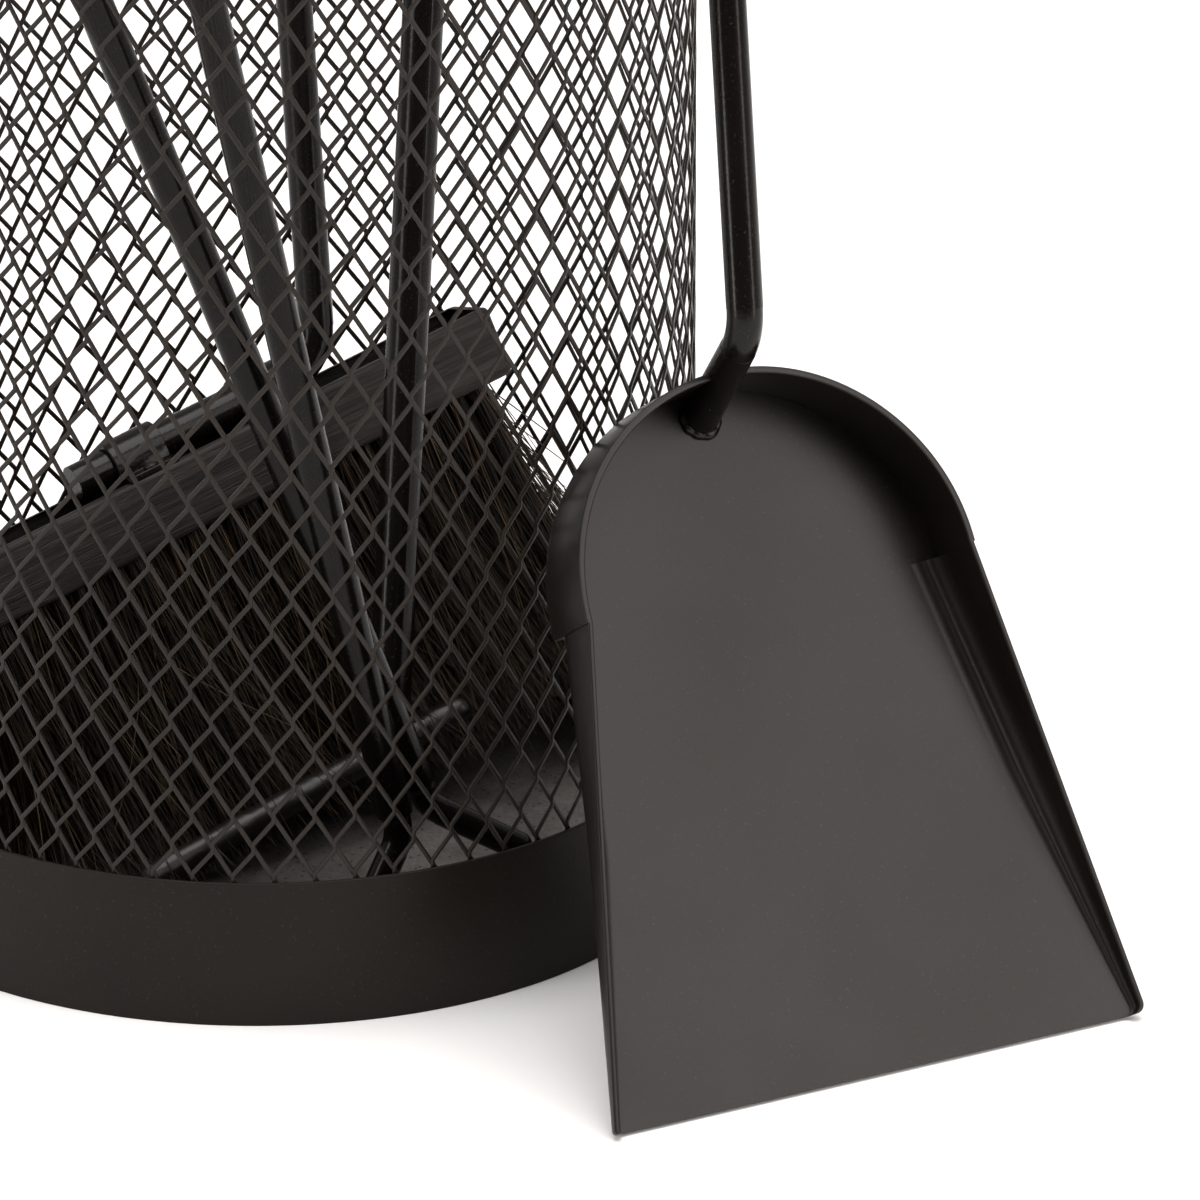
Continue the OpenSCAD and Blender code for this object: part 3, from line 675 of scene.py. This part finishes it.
def makePan():
    # sheet folded up along both sides, swept from the mouth to the throat, and a half disc as its closed end
    r0 = shovel["corner"][1]
    stations = np.concatenate([r0 * (1 - np.cos(np.linspace(0, np.pi / 2, 10))), np.linspace(r0, throat, 48)[1:]])
    rings = []
    for v in stations:
        xr, zr = sheetSide(v, 1)
        xl, zl = sheetSide(v, -1)
        x = np.concatenate([xr, xl[::-1][1:-1]])
        z = np.concatenate([zr, zl[::-1][1:-1]])
        rings.append(np.stack([x, np.full(len(x), v), z], -1))
    rings = arr(rings)
    verts = rings.reshape(-1, 3)
    faces = sweepFaces(1, len(stations), rings.shape[1])
    steps = shovel["rimSteps"]
    turn = np.linspace(0, np.pi, steps)
    rim = np.stack([archRadius * np.cos(turn), throat + archRadius * np.sin(turn)], -1)
    slab = np.concatenate([np.column_stack([rim, np.full(steps, z)]) for z in (0, -shovel["sheet"])])
    start, loop = len(verts), np.arange(steps)
    faces += [(loop + start).tolist(), (loop[::-1] + start + steps).tolist()]
    faces += [[start + i, start + (i + 1) % steps, start + steps + (i + 1) % steps, start + steps + i]
              for i in range(steps)]
    addMesh("shovelPan", onPan(np.concatenate([verts, slab])), faces, panCoat, "shovel", "pan_steel",
            ["shovel_pan"], 38)


def makeArchWall():
    # strip bent round the closed end. It stands a little proud of the side walls, and its height wavers slightly.
    section = roundedBox(-shovel["sheet"], 0, shovel["proud"], wallTop, shovel["lip"], 4)
    turn = np.linspace(0, np.pi, shovel["stripSteps"])[:, None]
    waver = 0.15 * mm * np.sin(turn * 5) * (section[None, :, 1] > wallTop / 2)
    r = archRadius + section[None, :, 0]
    verts = np.stack([r * np.cos(turn), throat + r * np.sin(turn), section[None, :, 1] + waver], -1)
    faces = sweepFaces(1, len(turn), len(section))
    addMesh("shovelArchWall", onPan(verts.reshape(-1, 3)), faces, panCoat, "shovel", "pan_steel",
            ["shovel_arch_wall"], 38)


def makeWeld():
    # bead of overlapping drops round the shaft's foot, as a ring whose tube swells and wanders
    low, high = turnedBox("shovel_weld", panTurn)
    centre = arr([(low[0] + high[0]) / 2, low[1] + (high[0] - low[0]) / 2, 0]) - [panMid[0], panMid[1], 0]
    rng = np.random.default_rng(shovel["seed"])
    around, sides = shovel["beadSteps"]
    turn = np.linspace(0, 2 * np.pi, around, endpoint=False)[:, None]
    tube = np.linspace(0, 2 * np.pi, sides, endpoint=False)[None]
    drops = np.abs(np.sin(turn * 4 + 0.6 * np.sin(turn * 2 + rng.random() * 6)))
    size = shovel["bead"] * (0.75 + 0.2 * drops)
    ring = (high[0] - low[0]) / 2 * 0.62 + 0.25 * mm * np.sin(turn * 3 + rng.random() * 6)
    r = ring + size * np.cos(tube)
    verts = np.stack([centre[0] + r * np.cos(turn), centre[1] + r * np.sin(turn),
                      0.3 * mm + size * np.sin(tube) * 1.1], -1)
    verts[..., 2] = np.maximum(verts[..., 2], -0.2 * mm)
    faces = gridFaces(around, sides, closedRows=True).tolist()
    addMesh("shovelWeld", onPan(verts.reshape(-1, 3)), faces, shaftCoat, "shovel", "pan_steel", ["shovel_weld"], 60)


makePan()
makeArchWall()
makeWeld()
fromCad("shovelShaft", "shovel_shaft", shaftCoat, "shovel", 0.4)
print("shovel made")

for tool, body in (("poker", "poker"), ("brush", "brush"), ("shovel", "shovel"),
                   ("tongs_back", "tongs"), ("tongs_front", "tongs_front")):
    title = tool.replace("_b", "B").replace("_f", "F")
    fromCad(title + "Grip", tool + "_grip", gripCoat, body, 0.5)
    fromCad(title + "Cap", tool + "_cap", gripCoat, body, 0.0)
print("grips made")


# Stage, light and camera

studio = {
    "elevation": 23.71,  # of the camera, in degrees
    "distance": 3.8835,  # from the camera to the point it aims at, in metres
    "aim": (0.09258, 0.0, 0.07229),
    "lens": 425,
    "floorSize": 60,     # side of the floor, in metres
}


def makeStage():
    half = studio["floorSize"] / 2
    mesh = bpy.data.meshes.new("studioFloor")
    mesh.from_pydata([(-half, -half, 0), (half, -half, 0), (half, half, 0), (-half, half, 0)], [], [(0, 1, 2, 3)])
    ground = bpy.data.objects.new("studioFloor", mesh)
    bpy.context.scene.collection.objects.link(ground)
    material, tree, place = newMaterial("paleStudioPaper")
    tooth = node(tree, "ShaderNodeTexNoise", {"Scale": 4.0}, {"Vector": place})
    color = node(tree, "ShaderNodeValToRGB", {"stops": [(0.3, grey(0.87)), (0.7, grey(0.89))]}, {"Fac": tooth})
    shader = node(tree, "ShaderNodeBsdfPrincipled", {"Roughness": 0.9, "Specular IOR Level": 0.1},
                  {"Base Color": color})
    node(tree, "ShaderNodeOutputMaterial", {}, {"Surface": shader})
    mesh.materials.append(material)


def areaLight(name, place, target, size, power, tone=(1, 1, 1)):
    light = bpy.data.lights.new(name, "AREA")
    light.shape, light.energy, light.color = "RECTANGLE", power, tone
    light.size, light.size_y = size
    lamp = bpy.data.objects.new(name, light)
    bpy.context.scene.collection.objects.link(lamp)
    lamp.location = place
    away = arr(place) - arr(target)
    flat = math.hypot(away[0], away[1])
    lamp.rotation_euler = (math.atan2(flat, away[2]), 0, math.atan2(away[0], -away[1]))


def makeLight():
    # the room is dim behind the camera and brighter round the sides and the back
    world = bpy.data.worlds.new("softStudio")
    bpy.context.scene.world = world
    world.use_nodes = True
    tree = world.node_tree
    tree.nodes.clear()
    place = node(tree, "ShaderNodeTexCoord", result="Generated")
    toward = node(tree, "ShaderNodeSeparateXYZ", {}, {"Vector": place}, "Y")
    share = node(tree, "ShaderNodeMath", {"operation": "MULTIPLY_ADD", 1: 0.5, 2: 0.5}, {0: toward})
    tone = node(tree, "ShaderNodeValToRGB", {"stops": [(0.1, (0.10, 0.095, 0.09, 1)), (0.6, (0.6, 0.57, 0.55, 1))]},
                {"Fac": share})
    back = node(tree, "ShaderNodeBackground", {"Strength": 1.0}, {"Color": tone})
    node(tree, "ShaderNodeOutputWorld", {}, {"Surface": back})
    target = (0.08, -0.05, 0.1)
    areaLight("panSoftbox", (1.9, -1.15, 1.7), target, (1.7, 1.7), 36, (1.0, 0.94, 0.92))
    areaLight("leftStrip", (-1.5, -0.95, 0.45), target, (0.35, 1.2), 9, (1.0, 0.95, 0.88))
    areaLight("rightStrip", (1.7, -1.0, 0.45), target, (0.35, 1.2), 6, (1.0, 0.95, 0.9))
    areaLight("topLight", (0.0, -0.35, 2.6), target, (2.4, 2.4), 86, (1.0, 0.985, 0.975))


def makeCamera():
    lens = bpy.data.cameras.new("camera")
    lens.lens = studio["lens"]
    lens.sensor_width = 36
    lens.clip_end = 200
    lens.dof.use_dof = False
    cam = bpy.data.objects.new("camera", lens)
    bpy.context.scene.collection.objects.link(cam)
    tilt = math.radians(studio["elevation"])
    x, y, z = studio["aim"]
    cam.location = (x, y - studio["distance"] * math.cos(tilt), z + studio["distance"] * math.sin(tilt))
    cam.rotation_euler = (math.pi / 2 - tilt, 0, 0)
    bpy.context.scene.camera = cam


makeStage()
makeLight()
makeCamera()
bpy.context.scene.view_settings.view_transform = "Standard"
print("stage, lights and camera made")
